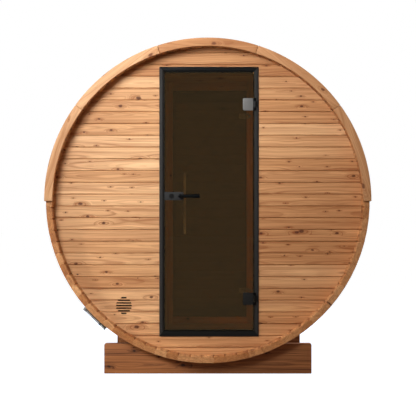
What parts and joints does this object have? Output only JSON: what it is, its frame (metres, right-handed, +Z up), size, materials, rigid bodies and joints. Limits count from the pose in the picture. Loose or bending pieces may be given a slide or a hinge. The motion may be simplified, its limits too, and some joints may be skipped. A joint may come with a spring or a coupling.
{
  "type": "barrel sauna",
  "caption": "Round timber cabin of staves held by steel hoops on three cradles, with an entrance door of bronze glass and a glass door in its partition.",
  "frame": {"origin": "on the ground below the middle of the barrel", "axes": "+Z up, +Y along the barrel away from the entrance, +X to the right of a person facing the entrance"},
  "size_m": [2.268, 3.056, 2.3438],
  "materials": {
    "stave_wood": "knotty softwood, oiled",
    "fascia_wood": "knotty softwood, oiled",
    "wall_wood": "knotty tongue and groove boards, oiled",
    "cradle_wood": "stained softwood",
    "floor_wood": "planed softwood boards",
    "joinery_wood": "planed softwood",
    "roof_felt": "mineral bitumen shingles",
    "zinc_steel": "zinc plated",
    "black_metal": "satin black powder coat",
    "hinge_steel": "satin",
    "black_rubber": "matt",
    "bronze_glass": "toughened, bronze tint"
  },
  "bodies": {
    "root": {"stave_set_01": "stave_wood", "stave_set_02": "stave_wood", "stave_set_03": "stave_wood", "stave_set_04": "stave_wood", "stave_set_05": "stave_wood", "stave_set_06": "stave_wood", "stave_set_07": "stave_wood", "stave_set_08": "stave_wood", "stave_set_09": "stave_wood", "stave_set_10": "stave_wood", "stave_set_11": "stave_wood", "stave_set_12": "stave_wood", "front_fascia": "fascia_wood", "rear_fascia": "fascia_wood", "cradle_front": "cradle_wood", "cradle_middle": "cradle_wood", "cradle_rear": "cradle_wood", "front_wall_left": "wall_wood", "front_wall_right": "wall_wood", "front_wall_above_door": "wall_wood", "front_wall_below_door": "wall_wood", "partition_left": "wall_wood", "partition_right": "wall_wood", "partition_above_door": "wall_wood", "partition_below_door": "wall_wood", "rear_wall": "wall_wood", "air_vent": "wall_wood", "floor_changing_room": "floor_wood", "floor_hot_room": "floor_wood", "roof_covering": "roof_felt", "hoops": "zinc_steel", "tighteners": "zinc_steel", "door_frame": "black_metal", "door_seal": "black_rubber", "door_hinge_knuckles": "black_metal", "partition_door_frame": "joinery_wood", "partition_door_stop": "joinery_wood", "partition_door_hinge_knuckles": "hinge_steel"},
    "door": {"door_glass": "bronze_glass", "door_hinge_leaves": "black_metal", "lock_case": "black_metal"},
    "lever": {"lever_handle": "black_metal"},
    "inner_door": {"partition_door_glass": "bronze_glass", "partition_door_hinge_leaves": "hinge_steel", "pull_handle": "joinery_wood"}
  },
  "joints": [
    {"name": "door_hinge", "type": "hinge", "parent": "root", "child": "door", "pos_m": [0.3295, -1.39, 1.21], "axis": [0, 0, 1], "range_deg": [0, 110]},
    {"name": "lever_turn", "type": "hinge", "parent": "door", "child": "lever", "pos_m": [-0.194, -1.432, 1.248], "axis": [0, 1, 0], "range_deg": [0, 40], "stiffness_Nm_per_rad": 1.2},
    {"name": "inner_door_hinge", "type": "hinge", "parent": "root", "child": "inner_door", "pos_m": [0.317, -0.238, 1.21], "axis": [0, 0, 1], "range_deg": [0, 100]}
  ]
}
